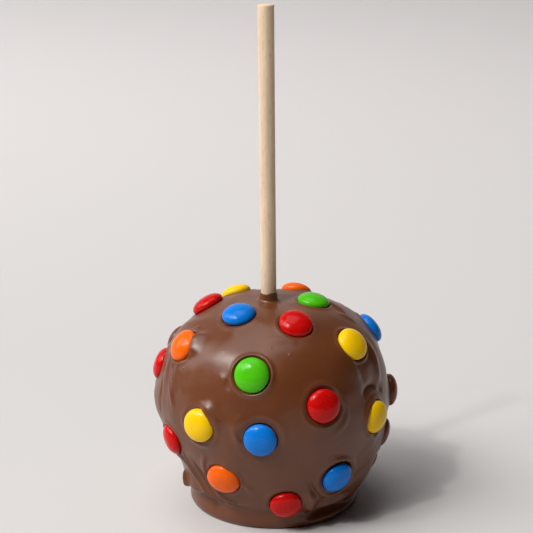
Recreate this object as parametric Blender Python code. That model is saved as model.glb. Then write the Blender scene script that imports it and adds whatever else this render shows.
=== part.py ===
"""A chocolate covered apple on a wooden stick, studded with sugar-shelled chocolate lentils.

Millimetres in the tables below, metres in the scene. +Z is up, -Y is the front of the apple, and the
origin is the centre of the flat foot that the warm coat left when the apple was set down.

Places on the coat are given by azimuth (degrees, 0 at the front, positive to the right) and by
elevation (degrees) seen from the core of the apple.
"""

import math
import random

import bmesh
import bpy
import numpy as np
from mathutils import Matrix, Vector

MM = 0.001
GAP = 0.3                      # clearance between pieces that touch

# Driving dimensions of the coated apple
CORE_HEIGHT = 44.0             # the point that elevations are seen from
OUTLINE = (                    # half section of the coat: radius, height
    (0.0, 86.1), (8.0, 86.1), (16.0, 85.8), (24.0, 83.7), (31.5, 79.3), (38.3, 73.8),
    (43.8, 65.4), (47.3, 53.8), (48.2, 45.6), (46.8, 36.6), (43.6, 25.6), (40.2, 16.6),
    (36.9, 9.4), (35.3, 6.6), (35.5, 3.2), (34.9, 1.0), (34.0, 0.0),
)
DRIFT = (                      # elevation, sideways shift of the ring there: the fruit isn't quite round
    (-90.0, 0.3), (-50.0, 0.4), (-36.0, 1.6), (-22.0, 1.1), (5.0, -0.5), (60.0, 0.2), (84.0, -2.0),
    (90.0, -2.0),
)
SEGMENTS = 64                  # faces round the apple
ROW_STEP = 4.8                 # distance between rings of faces
FOOT_ROWS = 7                  # closer rings, for the pooled foot
FOOT_WAY = 13.0                # the stretch of the outline that they cover

# Where the coat climbs the stick
SLEEVE_HEIGHT = 2.9
SLEEVE_FADE = 1.0              # how fast the fillet falls away from the stick
SLEEVE_WALL = 0.45
SLEEVE_RINGS = (0.0, 0.5, 1.2, 2.6, 5.0)

# Stick: a quarter inch dowel, very slightly thicker at its free end
STICK_TOP = 207.0
STICK_FOOT = 34.0
STICK_RADIUS_TOP = 3.28
STICK_RADIUS_FOOT = 3.12
STICK_LEAN = 0.55              # degrees, to the left
STICK_PLACE = (-2.0, 0.0)      # where its axis leaves the coat
STICK_SEGMENTS = 28
STICK_EDGE = 0.25              # chamfer of the sawn end

# Swells and hollows of the coat: azimuth, elevation, height, half width, half length, turn
SWELLS = (
    (-92.0, 1.0, 1.0, 12.0, 5.0, 0.0),         # left flank
    (-92.0, 17.0, -0.7, 10.0, 5.0, 0.0),       # hollow above it
    (-92.0, -11.0, -0.8, 12.0, 4.0, 0.0),      # and one below
    (-38.0, 40.0, 0.7, 9.0, 7.0, 20.0),        # hazy swell on the left shoulder
    (-72.0, 24.0, 0.9, 2.6, 9.0, 10.0),        # ridges that run down from the left shoulder
    (-60.0, 20.0, 0.6, 2.2, 9.0, 6.0),
    (-86.0, 44.0, 0.8, 2.4, 9.0, -52.0),       # rib on the far left shoulder
    (-14.0, 4.0, 0.5, 2.4, 6.0, 4.0),          # rib beside the middle lentil
    (60.0, 16.0, -0.9, 6.0, 3.6, -20.0),       # trough over the right lentil
    (80.0, 26.0, 0.7, 4.0, 14.0, 10.0),        # long rib down the right flank
    (112.0, 44.0, 0.9, 6.0, 6.0, 0.0),         # knob on the right shoulder
    (22.0, -37.0, 1.0, 5.0, 2.4, 14.0),        # swirl under the low right lentil
    (-66.0, -22.0, 1.4, 2.4, 9.0, 36.0),       # overhanging fold, low on the left
    (-58.0, -33.0, -1.3, 2.0, 8.0, 40.0),      # crease under the fold
    (-64.0, -41.0, 1.5, 8.0, 2.4, 6.0),        # pool that lies against the foot
    (150.0, 10.0, 0.7, 9.0, 7.0, 30.0),        # quiet swells of the far side
    (-150.0, 14.0, 0.7, 3.0, 12.0, 8.0),
    (175.0, -12.0, -0.7, 10.0, 6.0, 0.0),
    (130.0, -30.0, 1.0, 2.6, 8.0, -30.0),
    (-125.0, -36.0, 1.1, 9.0, 3.0, 0.0),
)
FOOT_FADE = 4.0                # swells die out this far above the table

# The coat pooled into a skirt; the crease above it: azimuth, height, depth
CREASE = (
    (-180.0, 7.0, 0.8), (-115.0, 7.0, 0.9), (-65.0, 8.5, 1.4), (-30.0, 9.0, 0.9), (0.0, 9.5, 0.5),
    (28.0, 6.5, 1.0), (50.0, 4.8, 1.6), (90.0, 4.8, 1.0), (135.0, 6.0, 0.8), (180.0, 7.0, 0.8),
)
CREASE_WIDTH = 1.9

# Lentils: the lens is a flattened sphere, pressed about half way into the coat
LENTIL_RADIUS = 6.7
LENTIL_FLATNESS = 0.5          # half thickness over radius
LENTIL_LIFT = 0.2              # its rim stands this far proud of the coat
LENTIL_SEGMENTS = 12
LENTIL_RINGS = 6

# colour, azimuth, elevation, lean to the right, lean upwards, radius, extra lift
LENTILS = (
    ("yellow", -142.0, 56.0, 0.0, 0.0, 6.4, 0.3),
    ("red", -108.0, 52.0, 0.0, 0.0, 6.9, 0.6),
    ("blue", -42.0, 63.0, 3.0, 0.0, 6.8, 0.0),
    ("orange", 159.0, 56.0, 0.0, 0.0, 6.5, 0.0),
    ("green", 88.0, 68.0, 0.0, 0.0, 6.6, 0.0),
    ("red", 20.0, 58.0, -3.0, -7.0, 6.8, 0.0),
    ("blue", 107.0, 32.0, 0.0, 0.0, 6.8, 0.4),
    ("yellow", 55.0, 39.0, -6.0, -7.0, 6.8, 0.0),
    ("orange", -66.0, 35.0, 3.0, -3.0, 6.8, 0.0),
    ("brown", -117.0, 22.0, 0.0, 0.0, 6.6, 0.0),
    ("red", -93.0, 17.0, 0.0, 4.0, 6.8, 0.0),
    ("green", -12.0, 30.0, -2.0, -6.0, 7.0, 0.0),
    ("red", 25.0, 14.5, -6.0, 0.0, 6.8, 0.0),
    ("brown", 95.0, 2.0, 0.0, 0.0, 6.7, 0.7),
    ("yellow", 59.0, 1.0, -6.0, 0.0, 6.7, 0.0),
    ("yellow", -37.0, 3.0, 5.0, 3.0, 6.8, 0.0),
    ("blue", -6.0, 0.0, -2.0, 3.0, 6.6, 0.0),
    ("red", -64.0, -13.0, -5.0, 0.0, 6.5, 0.0),
    ("brown", 103.0, -37.0, 0.0, 0.0, 6.5, 0.3),
    ("orange", -30.0, -26.0, 9.0, 0.0, 6.9, 0.0),
    ("blue", 34.0, -26.0, 1.0, 3.0, 6.7, 0.0),
    ("brown", 89.0, -19.0, 0.0, 0.0, 6.4, -0.5),
    ("brown", -104.0, -39.0, 0.0, 0.0, 6.2, -0.8),
    ("red", 5.0, -39.0, 2.0, 0.0, 6.5, 0.0),
)

# The far side carries staggered rows of them: elevation, first and last azimuth, how many
FAR_ROWS = (
    (33.0, 138.0, 207.0, 3),
    (8.0, 124.0, 222.0, 4),
    (-17.0, 130.0, 246.0, 5),
    (-38.0, 137.0, 226.0, 3),
)
FAR_JITTER = 3.5               # degrees
FAR_SEED = 11
FAR_COLOURS = ("orange", "green", "blue", "yellow", "brown", "green", "red", "blue")

COLOURS = {
    "chocolate": (0.175, 0.068, 0.035),
    "wood": (0.66, 0.47, 0.27),
    "red": (0.55, 0.012, 0.006),
    "orange": (0.90, 0.13, 0.008),
    "yellow": (0.78, 0.44, 0.006),
    "green": (0.09, 0.42, 0.015),
    "blue": (0.012, 0.13, 0.47),
    "brown": (0.10, 0.032, 0.016),
}


def spline(knots, values, at):
    """Values of the natural cubic curve through the knots."""
    knots, values, at = (np.asarray(x, float) for x in (knots, values, at))
    step = np.diff(knots)
    slope = np.diff(values) / step
    system = np.eye(len(knots))
    right = np.zeros(len(knots))
    for i in range(1, len(knots) - 1):
        system[i, i - 1:i + 2] = step[i - 1], 2 * (step[i - 1] + step[i]), step[i]
        right[i] = 6 * (slope[i] - slope[i - 1])
    bend = np.linalg.solve(system, right)
    i = np.clip(np.searchsorted(knots, at) - 1, 0, len(step) - 1)
    past, left = at - knots[i], knots[i + 1] - at
    return (
        (bend[i] * left ** 3 + bend[i + 1] * past ** 3) / (6 * step[i])
        + (values[i] / step[i] - bend[i] * step[i] / 6) * left
        + (values[i + 1] / step[i] - bend[i + 1] * step[i] / 6) * past
    )


OUTLINE_XY = np.array(OUTLINE)
OUTLINE_KNOTS = np.concatenate(
    [[0.0], np.cumsum(np.hypot(*np.diff(OUTLINE_XY, axis=0).T))]
)
OUTLINE_LENGTH = OUTLINE_KNOTS[-1]


def outline(way):
    """Radius and height of the section, way millimetres along it from the crown."""
    return (
        spline(OUTLINE_KNOTS, OUTLINE_XY[:, 0], way),
        np.maximum(spline(OUTLINE_KNOTS, OUTLINE_XY[:, 1], way), 0.0),
    )


def way_at(elevation):
    """How far along the section the coat is met at this elevation."""
    way = np.linspace(0.0, OUTLINE_LENGTH, 400)
    radius, height = outline(way)
    seen = np.degrees(np.arctan2(height - CORE_HEIGHT, np.maximum(radius, 1e-9)))
    return float(np.interp(-elevation, -seen, way))


def direction(azimuth, elevation):
    """Unit vectors out of the core, to the right and upwards, for angles in degrees."""
    a, e = np.radians(azimuth), np.radians(elevation)
    out = np.stack([np.sin(a) * np.cos(e), -np.cos(a) * np.cos(e), np.sin(e) + 0 * a], -1)
    right = np.stack([np.cos(a), np.sin(a), 0 * a], -1)
    up = np.stack([-np.sin(a) * np.sin(e), np.cos(a) * np.sin(e), np.cos(e) + 0 * a], -1)
    return out, right, up


def swell(out):
    """Height of the swells for unit vectors out of the core."""
    reach = 48.0
    height = np.zeros(out.shape[:-1])
    for azimuth, elevation, rise, width, length, turn in SWELLS:
        centre, right, up = direction(np.array(azimuth), np.array(elevation))
        across, along = reach * out @ right, reach * out @ up
        t = math.radians(turn)
        u = across * math.cos(t) + along * math.sin(t)
        v = along * math.cos(t) - across * math.sin(t)
        bump = rise * np.exp(-0.5 * ((u / width) ** 2 + (v / length) ** 2))
        height += np.where(out @ centre > 0, bump, 0.0)
    return height


def crease(azimuth, height):
    """How deep the coat is creased above its foot."""
    turns, heights, depths = zip(*CREASE)
    azimuth = (azimuth + 180.0) % 360.0 - 180.0
    away = (height - spline(turns, heights, azimuth)) / CREASE_WIDTH
    return spline(turns, depths, azimuth) * np.exp(-away ** 2)


def coat(azimuth, way):
    """Points of the coat in millimetres, and the outward directions there."""
    azimuth, way = np.broadcast_arrays(np.asarray(azimuth, float), np.asarray(way, float))
    small = 0.05
    radius, height = outline(way)
    next_radius, next_height = outline(np.minimum(way + small, OUTLINE_LENGTH))
    last_radius, last_height = outline(np.maximum(way - small, 0.0))
    tangent = np.stack([next_radius - last_radius, next_height - last_height], -1)
    tangent /= np.linalg.norm(tangent, axis=-1, keepdims=True)
    a = np.radians(azimuth)
    spoke = np.stack([np.sin(a), -np.cos(a), 0 * a], -1)
    normal = spoke * -tangent[..., 1:] + np.array([0.0, 0.0, 1.0]) * tangent[..., :1]
    elevation = np.degrees(np.arctan2(height - CORE_HEIGHT, np.maximum(radius, 1e-9)))
    shift = spline(*zip(*DRIFT), elevation)
    point = spoke * radius[..., None]
    point[..., 0] += shift
    point[..., 2] = height
    rise = swell(direction(azimuth, elevation)[0]) - crease(azimuth, height)
    rise *= 1 - np.exp(-(height / FOOT_FADE) ** 2)
    return point + normal * rise[..., None], normal


def sleeve(way):
    """How far the coat climbs above the crown, by distance from the stick's axis."""
    start = STICK_RADIUS_FOOT + GAP + SLEEVE_WALL
    return SLEEVE_HEIGHT * np.exp(-np.maximum(way - start, 0.0) / SLEEVE_FADE)


def finish(name, roughness):
    """A plain glossy or matt finish in one of the named colours."""
    material = bpy.data.materials.new(name)
    material.use_nodes = True
    shader = material.node_tree.nodes["Principled BSDF"]
    shader.inputs["Base Color"].default_value = (*COLOURS[name], 1.0)
    shader.inputs["Roughness"].default_value = roughness
    shader.inputs["Metallic"].default_value = 0.0
    material.diffuse_color = (*COLOURS[name], 1.0)
    return material


def add_object(name, bm, material=None, sharp=40.0):
    """Turn a bmesh into a smooth shaded object."""
    mesh = bpy.data.meshes.new(name)
    bmesh.ops.recalc_face_normals(bm, faces=bm.faces)
    bm.to_mesh(mesh)
    bm.free()
    mesh.shade_smooth()
    mesh.set_sharp_from_angle(angle=math.radians(sharp))
    if material:
        mesh.materials.append(material)
    piece = bpy.data.objects.new(name, mesh)
    bpy.context.scene.collection.objects.link(piece)
    return piece


def make_cutter(piece, collection):
    """Take a piece out of the model and use it only to cut."""
    bpy.context.scene.collection.objects.unlink(piece)
    collection.objects.link(piece)
    piece.hide_render = True
    piece.display_type = "WIRE"


def lentil(name, place, radius, grow=0.0, material=None):
    """A lens of this radius at a placing matrix, grown all over by grow."""
    bm = bmesh.new()
    bmesh.ops.create_uvsphere(
        bm, u_segments=LENTIL_SEGMENTS, v_segments=LENTIL_RINGS, radius=1.0
    )
    across = (radius + grow) * MM
    through = (radius * LENTIL_FLATNESS + grow) * MM
    bmesh.ops.scale(bm, vec=(across, across, through), verts=bm.verts)
    piece = add_object(name, bm, material, sharp=180.0)
    piece.matrix_world = place
    return piece


def lentil_place(azimuth, elevation, lean_right, lean_up, lift):
    """Placing matrix of a lens that lies on the coat, its flat side facing out."""
    point, normal = coat(azimuth, way_at(elevation))
    _, right, up = direction(np.array(azimuth), np.array(elevation))
    axis = Vector(
        normal
        + math.tan(math.radians(lean_right)) * right
        + math.tan(math.radians(lean_up)) * up
    ).normalized()
    place = axis.to_track_quat("Z", "Y").to_matrix().to_4x4()
    place.translation = (Vector(point) + axis * (LENTIL_LIFT + lift)) * MM
    return place


def all_lentils():
    """Every lens: the chosen ones, then the rows of the far side with a seeded scatter."""
    for row in LENTILS:
        yield row
    rng = random.Random(FAR_SEED)
    count = 0
    for elevation, first, last, number in FAR_ROWS:
        for i in range(number):
            azimuth = first + (last - first) * i / (number - 1)
            yield (
                FAR_COLOURS[count % len(FAR_COLOURS)],
                azimuth + rng.uniform(-FAR_JITTER, FAR_JITTER),
                elevation + rng.uniform(-FAR_JITTER, FAR_JITTER),
                rng.uniform(-FAR_JITTER, FAR_JITTER),
                rng.uniform(-FAR_JITTER, FAR_JITTER),
                LENTIL_RADIUS + rng.uniform(-0.2, 0.2),
                0.0,
            )
            count += 1


def stick_matrix():
    """The stick's axis: Z along it, origin where it leaves the coat."""
    lean = Matrix.Rotation(math.radians(-STICK_LEAN), 4, "Y")
    crown = OUTLINE[0][1]
    return Matrix.Translation(Vector((*STICK_PLACE, crown)) * MM) @ lean


def turned_rod(name, rings, segments, material=None):
    """A closed rod along the stick's axis, from (height, radius) rings."""
    bm = bmesh.new()
    crown = OUTLINE[0][1]
    last = None
    for height, radius in rings:
        ring = [
            bm.verts.new(
                (
                    radius * MM * math.cos(2 * math.pi * i / segments),
                    radius * MM * math.sin(2 * math.pi * i / segments),
                    (height - crown) * MM,
                )
            )
            for i in range(segments)
        ]
        if last:
            for i in range(segments):
                j = (i + 1) % segments
                bm.faces.new((last[i], last[j], ring[j], ring[i]))
        else:
            bm.faces.new(ring[::-1])
        last = ring
    bm.faces.new(last)
    piece = add_object(name, bm, material)
    piece.matrix_world = stick_matrix()
    return piece


def make_stick(material):
    return turned_rod(
        "stick",
        (
            (STICK_FOOT, STICK_RADIUS_FOOT - STICK_EDGE),
            (STICK_FOOT + STICK_EDGE, STICK_RADIUS_FOOT),
            (STICK_TOP - STICK_EDGE, STICK_RADIUS_TOP),
            (STICK_TOP, STICK_RADIUS_TOP - STICK_EDGE),
        ),
        STICK_SEGMENTS,
        material,
    )


def make_coated_apple(material, cutters):
    """The apple in its coat: a closed turned body with its swells, then bored and socketed."""
    start = STICK_RADIUS_FOOT + GAP + SLEEVE_WALL
    collar = [start + step for step in SLEEVE_RINGS]
    foot_start = OUTLINE_LENGTH - FOOT_WAY
    rows = round((foot_start - collar[-1]) / ROW_STEP)
    ways = collar + list(np.linspace(collar[-1], foot_start, rows + 1)[1:])
    ways += list(np.linspace(foot_start, OUTLINE_LENGTH, FOOT_ROWS + 1)[1:])
    turns = np.arange(SEGMENTS) * 360.0 / SEGMENTS
    bm = bmesh.new()
    crown = bm.verts.new((DRIFT[-1][1] * MM, 0.0, (OUTLINE[0][1] + SLEEVE_HEIGHT) * MM))
    rings = []
    for way in ways:
        points = coat(turns, way)[0]
        points[:, 2] += sleeve(way)
        if way == ways[-1]:
            points[:, 2] = 0.0
        rings.append([bm.verts.new(Vector(p) * MM) for p in points])
    for i in range(SEGMENTS):
        j = (i + 1) % SEGMENTS
        bm.faces.new((crown, rings[0][i], rings[0][j]))
        for upper, lower in zip(rings, rings[1:]):
            bm.faces.new((upper[i], lower[i], lower[j], upper[j]))
    bm.faces.new(rings[-1][::-1])
    apple = add_object("coated_apple", bm, material, sharp=50.0)
    cut = apple.modifiers.new("sockets", "BOOLEAN")
    cut.operation = "DIFFERENCE"
    cut.operand_type = "COLLECTION"
    cut.collection = cutters
    cut.solver = "EXACT"
    return apple


def main():
    for old in list(bpy.data.objects):
        bpy.data.objects.remove(old, do_unlink=True)
    finishes = {name: finish(name, 0.2) for name in COLOURS}
    finishes["chocolate"] = finish("chocolate", 0.35)
    finishes["wood"] = finish("wood", 0.7)
    cutters = bpy.data.collections.new("sockets")
    bpy.context.scene.collection.children.link(cutters)
    for number, row in enumerate(all_lentils(), start=1):
        colour, azimuth, elevation, lean_right, lean_up, radius, lift = row
        place = lentil_place(azimuth, elevation, lean_right, lean_up, lift)
        lentil(f"lentil_{number:02d}_{colour}", place, radius, 0.0, finishes[colour])
        make_cutter(lentil(f"socket_{number:02d}", place, radius, GAP), cutters)
    make_stick(finishes["wood"])
    bore = turned_rod(
        "bore",
        (
            (STICK_FOOT - GAP, STICK_RADIUS_FOOT + GAP),
            (STICK_TOP, STICK_RADIUS_TOP + GAP),
        ),
        STICK_SEGMENTS,
    )
    make_cutter(bore, cutters)
    make_coated_apple(finishes["chocolate"], cutters)


main()
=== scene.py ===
"""The looks of a chocolate covered apple: its dipped coat, sugar-shelled lentils and wooden stick.

Tables are in millimetres and degrees. Azimuth 0 is the front (-Y), positive to the right; elevation is
seen from the core of the apple. Angles on a lentil run from its right side upwards.
"""

import math
import random
from typing import NamedTuple

import bpy
import numpy as np
from bpy.props import FloatProperty, FloatVectorProperty, PointerProperty
from mathutils import Matrix, Vector, geometry


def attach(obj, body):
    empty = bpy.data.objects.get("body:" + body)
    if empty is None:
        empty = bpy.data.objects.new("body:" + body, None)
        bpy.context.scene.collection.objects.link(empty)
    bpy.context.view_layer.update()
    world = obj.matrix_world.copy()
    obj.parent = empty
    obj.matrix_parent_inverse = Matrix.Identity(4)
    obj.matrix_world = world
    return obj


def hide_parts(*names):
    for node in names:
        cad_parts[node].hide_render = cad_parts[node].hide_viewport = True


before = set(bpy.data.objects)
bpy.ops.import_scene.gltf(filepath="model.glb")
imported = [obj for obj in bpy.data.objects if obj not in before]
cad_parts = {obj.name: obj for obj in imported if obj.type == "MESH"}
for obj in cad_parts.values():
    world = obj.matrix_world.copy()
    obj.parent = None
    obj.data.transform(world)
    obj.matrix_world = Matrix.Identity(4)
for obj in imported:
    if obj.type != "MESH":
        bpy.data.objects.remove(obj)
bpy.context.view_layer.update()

bl_info = {
    "name": "Chocolate covered apple",
    "version": (1, 0, 0),
    "blender": (4, 5, 0),
    "location": "3D View > Sidebar > Sweets",
    "description": "Dips the apple in chocolate, presses in the lentils and sets it on a pale table",
    "category": "Object",
}

MM = 0.001

# ---------------------------------------------------------------------------------------------
# The form that the coat shares with the solid apple
# ---------------------------------------------------------------------------------------------

CORE_HEIGHT = 44.0
CORE = np.array([0.0, 0.0, CORE_HEIGHT])
REACH = 48.0                   # distance from the core at which widths of relief are measured
OUTLINE = (                    # half section of the coat: radius, height
    (0.0, 86.1), (8.0, 86.1), (16.0, 85.8), (24.0, 83.7), (31.5, 79.3), (38.3, 73.8),
    (43.8, 65.4), (47.3, 53.8), (48.2, 45.6), (46.8, 36.6), (43.6, 25.6), (40.2, 16.6),
    (36.9, 9.4), (35.3, 6.6), (35.5, 3.2), (34.9, 1.0), (34.0, 0.0),
)
DRIFT = (                      # elevation, sideways shift of the ring there
    (-90.0, 0.3), (-50.0, 0.4), (-36.0, 1.6), (-22.0, 1.1), (5.0, -0.5), (60.0, 0.2), (84.0, -2.0),
    (90.0, -2.0),
)
SWELLS = (                     # azimuth, elevation, height, half width, half length, turn
    (-92.0, 1.0, 1.0, 12.0, 5.0, 0.0),         # left flank
    (-92.0, 17.0, -0.7, 10.0, 5.0, 0.0),       # hollow above it
    (-92.0, -11.0, -0.8, 12.0, 4.0, 0.0),      # and one below
    (-38.0, 40.0, 0.7, 9.0, 7.0, 20.0),        # hazy swell on the left shoulder
    (-72.0, 24.0, 0.9, 2.6, 9.0, 10.0),        # ridges that run down from the left shoulder
    (-60.0, 20.0, 0.6, 2.2, 9.0, 6.0),
    (-86.0, 44.0, 0.8, 2.4, 9.0, -52.0),       # rib on the far left shoulder
    (-14.0, 4.0, 0.5, 2.4, 6.0, 4.0),          # rib beside the middle lentil
    (60.0, 16.0, -0.9, 6.0, 3.6, -20.0),       # trough over the right lentil
    (80.0, 26.0, 0.7, 4.0, 14.0, 10.0),        # long rib down the right flank
    (112.0, 44.0, 0.9, 6.0, 6.0, 0.0),         # knob on the right shoulder
    (22.0, -37.0, 1.0, 5.0, 2.4, 14.0),        # swirl under the low right lentil
    (-66.0, -22.0, 1.4, 2.4, 9.0, 36.0),       # overhanging fold, low on the left
    (-58.0, -33.0, -1.3, 2.0, 8.0, 40.0),      # crease under the fold
    (-64.0, -41.0, 1.5, 8.0, 2.4, 6.0),        # pool that lies against the foot
    (150.0, 10.0, 0.7, 9.0, 7.0, 30.0),        # quiet swells of the far side
    (-150.0, 14.0, 0.7, 3.0, 12.0, 8.0),
    (175.0, -12.0, -0.7, 10.0, 6.0, 0.0),
    (130.0, -30.0, 1.0, 2.6, 8.0, -30.0),
    (-125.0, -36.0, 1.1, 9.0, 3.0, 0.0),
)
FOOT_FADE = 4.0                # swells die out this far above the table
CREASE = (                     # the crease above the pooled foot: azimuth, height, depth
    (-180.0, 7.0, 0.8), (-115.0, 7.0, 0.9), (-65.0, 8.5, 1.4), (-30.0, 9.0, 0.9), (0.0, 9.5, 0.5),
    (28.0, 6.5, 1.0), (50.0, 4.8, 1.6), (90.0, 4.8, 1.0), (135.0, 6.0, 0.8), (180.0, 7.0, 0.8),
)
CREASE_WIDTH = 1.9

# ---------------------------------------------------------------------------------------------
# Relief that only the fine coat carries
# ---------------------------------------------------------------------------------------------


class Ridge(NamedTuple):
    """A ridge of chocolate, or with a height below zero a crease, along a curve of places."""

    path: tuple                # places: azimuth, elevation
    height: float
    left: float                # width on its left, walking along it
    right: float


RIDGES = (
    # Upper left: rib of the far shoulder, dent beside the lentil, then drips and dents down the flank
    Ridge(((-80, 31), (-74, 40), (-68, 47)), 0.7, 0.8, 1.5),
    Ridge(((-58, 41), (-59, 35), (-57, 29)), -0.55, 1.2, 1.2),
    Ridge(((-68, 27), (-64, 20), (-58, 12), (-55, 4)), 0.7, 1.2, 0.9),
    Ridge(((-60, 30), (-55, 22), (-49, 14)), 0.25, 1.5, 1.4),
    Ridge(((-76, 18), (-72, 8), (-70, -2)), -0.8, 1.4, 1.3),
    Ridge(((-34, 15), (-30, 10.5), (-26, 6)), 0.35, 1.3, 1.3),
    Ridge(((-28.5, 29), (-27, 26), (-26, 23.5)), 0.35, 0.8, 1.0),
    Ridge(((-25, 27), (-24, 24.5), (-22, 22)), -0.4, 0.9, 0.8),
    Ridge(((-46, 50), (-38, 52), (-29, 50)), 0.3, 1.4, 1.4),
    Ridge(((-10, 46), (4, 49), (16, 46)), 0.3, 2.2, 2.2),
    # Ribs beside the middle lentils
    Ridge(((-14, 12), (-18, 6), (-17, 0), (-12, -6)), 0.65, 0.9, 1.4),
    Ridge(((34, 18), (38, 11), (36, 4), (29, -1)), 0.6, 0.8, 1.3),
    # Right shoulder and flank
    Ridge(((98, 62), (91, 57), (84, 51)), 0.9, 0.8, 1.6),
    Ridge(((76, 56), (80, 51), (82, 45)), 0.6, 1.0, 1.6),
    Ridge(((50, 14), (56, 16.5), (64, 16), (71, 10)), -1.1, 1.7, 1.5),
    Ridge(((49, -4), (50, 3), (54, 9), (62, 10)), 0.5, 0.8, 1.0),
    Ridge(((69, 42), (69, 31), (68, 21), (66, 12)), 1.0, 1.9, 2.2),
    Ridge(((51, 35), (53, 27), (55, 18)), -0.9, 2.2, 2.4),
    Ridge(((68, -10), (54, -16), (46, -21)), 0.7, 2.2, 2.2),
    Ridge(((57, -7), (62, -9.5), (70, -9)), -1.0, 0.8, 0.7),
    Ridge(((45, -33), (52, -30), (62, -25)), -0.6, 2.2, 2.2),
    Ridge(((25, -12), (33, -12), (43, -17)), -0.5, 0.8, 0.8),
    Ridge(((46, 70), (62, 76), (78, 80)), 0.25, 1.0, 1.6),
    # The fold that hangs low on the left: pit, hem, valley, the lip along the lentil, the hollow under
    # the fold, the knob at its left end, and a rib on the lentil's right
    Ridge(((-60, -20), (-57, -24), (-58, -29)), -1.5, 0.9, 1.2),
    Ridge(((-57, -14), (-54.5, -24), (-52, -31), (-49, -36), (-44, -40.5), (-36, -44)), 1.2, 0.8, 1.7),
    Ridge(((-49, -18), (-47, -27), (-45, -33), (-40, -39), (-32, -43)), -1.3, 1.1, 1.1),
    Ridge(((-37, -13), (-41, -21), (-41.5, -29), (-38, -35), (-32, -39), (-24, -41)), 1.3, 0.8, 1.3),
    Ridge(((-82, -41), (-66, -43), (-52, -44), (-40, -45)), -1.0, 1.6, 1.3),
    Ridge(((-73, -34), (-70, -38), (-68, -42)), 2.0, 1.1, 1.2),
    Ridge(((-20, -26), (-17, -29), (-16, -33)), 0.6, 1.1, 1.1),
    # Front of the foot
    Ridge(((-38, -42), (-14, -43), (8, -43)), 0.5, 1.9, 1.9),
    # Hollow round the low right lentil, the swirl that runs into the ridge below it, and the trough
    Ridge(((18, -24), (19, -29), (22, -34), (28, -38), (38, -40), (51, -39)), -1.2, 1.1, 1.3),
    Ridge(((17, -32), (20, -37), (20, -42), (17, -47)), 1.3, 1.9, 1.6),
    Ridge(((18, -41), (26, -43), (40, -43), (60, -43.5)), 1.0, 1.3, 1.2),
    Ridge(((20, -49), (29, -48), (42, -47.2), (58, -47)), -2.8, 1.7, 1.3),
    # Drips of the far side
    Ridge(((150, 30), (160, 18), (166, 4)), 0.5, 1.4, 2.0),
    Ridge(((-128, 10), (-132, -6), (-130, -24)), 0.55, 1.3, 1.8),
    Ridge(((-170, -24), (-162, -34), (-150, -42)), 0.7, 0.9, 1.5),
    Ridge(((118, -22), (124, -34), (134, -43)), 0.7, 0.9, 1.4),
    Ridge(((-112, 34), (-118, 26), (-116, 16)), -0.5, 1.3, 1.3),
    Ridge(((134, 52), (144, 46), (156, 46)), 0.4, 1.2, 1.8),
)

WAVE_LENGTHS = (8.0, 24.0)     # lengths of the slow waves that run all over the coat
WAVE_COUNT = 14
WAVE_SEED = 5

# Bubbles and crumbs caught in the coat: azimuth, elevation, radius
BUBBLES = (
    (-54.1, 53.0, 0.26), (8.6, 40.1, 0.30), (-55.1, 26.3, 0.26), (0.0, 8.4, 0.34), (-14.7, 18.9, 0.18),
    (-14.5, 20.4, 0.30), (72.0, 27.5, 0.24), (-3.0, 44.0, 0.20), (33.0, -8.0, 0.20), (-33.0, 52.0, 0.22),
)
BUBBLE_SCATTER = 46            # and this many smaller ones, anywhere
BUBBLE_SEED = 3
BUBBLE_RADII = (0.09, 0.17)    # of the scattered ones
BUBBLE_BAND = (-0.7, 0.97)     # and the sines of their elevations
BUBBLE_RISE = 0.8              # height of a bubble, as a share of its radius
BUBBLE_WIDTH = 0.75            # and its width
BUBBLE_RINGS = ((0.0, 1), (0.45, 6), (0.9, 8), (1.5, 10))     # share of the radius, points
BUBBLE_CLEAR = 3.9             # a bubble nearer to a lentil's rim has no points of its own


class Seat(NamedTuple):
    """How the chocolate meets a lentil."""

    lip: float = 0.40          # height of the raised ring
    away: float = 1.25         # its distance from the rim
    soft: float = 0.95         # its width
    crater: float = 0.0        # depth of the wide hollow round the lentil
    reach: float = 2.2         # how far that hollow reaches
    gap: float = 0.26          # width of the gap at the rim
    deep: float = 0.75         # its depth
    wider: float = 0.35        # how much wider the gap is on one side
    towards: float = -45.0     # the side


SEATS = {
    2: Seat(lip=0.3, crater=0.3, reach=2.0, wider=0.8, towards=-40),
    3: Seat(lip=0.25, crater=0.35, reach=1.8, wider=0.9, towards=-30),
    5: Seat(lip=0.3, wider=0.8, towards=-60),
    6: Seat(lip=0.25, crater=0.3, reach=1.8, wider=0.9, towards=-35),
    8: Seat(lip=0.45, away=0.9, soft=0.7, wider=0.9, towards=-35),
    9: Seat(lip=0.2, away=1.4, wider=0.6, towards=-60),
    12: Seat(lip=0.95, away=1.2, soft=0.75, gap=0.24, wider=0.45, towards=-30),
    13: Seat(lip=0.45, away=1.9, soft=1.0, crater=0.35, reach=1.8, gap=0.36, wider=0.4),
    15: Seat(lip=0.9, away=0.9, soft=0.6, gap=0.26, wider=0.2, towards=-100),
    16: Seat(lip=0.5, away=2.1, soft=0.9, gap=0.2, deep=0.55, wider=0.1),
    17: Seat(lip=0.2, away=3.0, soft=1.2, crater=0.6, reach=2.0, gap=0.34, wider=0.8, towards=-50),
    20: Seat(lip=0.4, away=1.0, soft=0.7, gap=0.24, wider=0.6, towards=-20),
    21: Seat(lip=1.0, away=2.2, soft=1.1, gap=0.2, deep=1.4, wider=6.0, towards=75),
    24: Seat(lip=0.25, away=1.4, gap=0.24, wider=1.2, towards=120),
}


LIP_UNEVEN = ((0.3, 1, 1.0), (0.2, 2, 2.3))    # share of a lip, times round, shift for each number
GAP_DEEPENS = 0.4              # share of its widening by which a gap is also deeper


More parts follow.
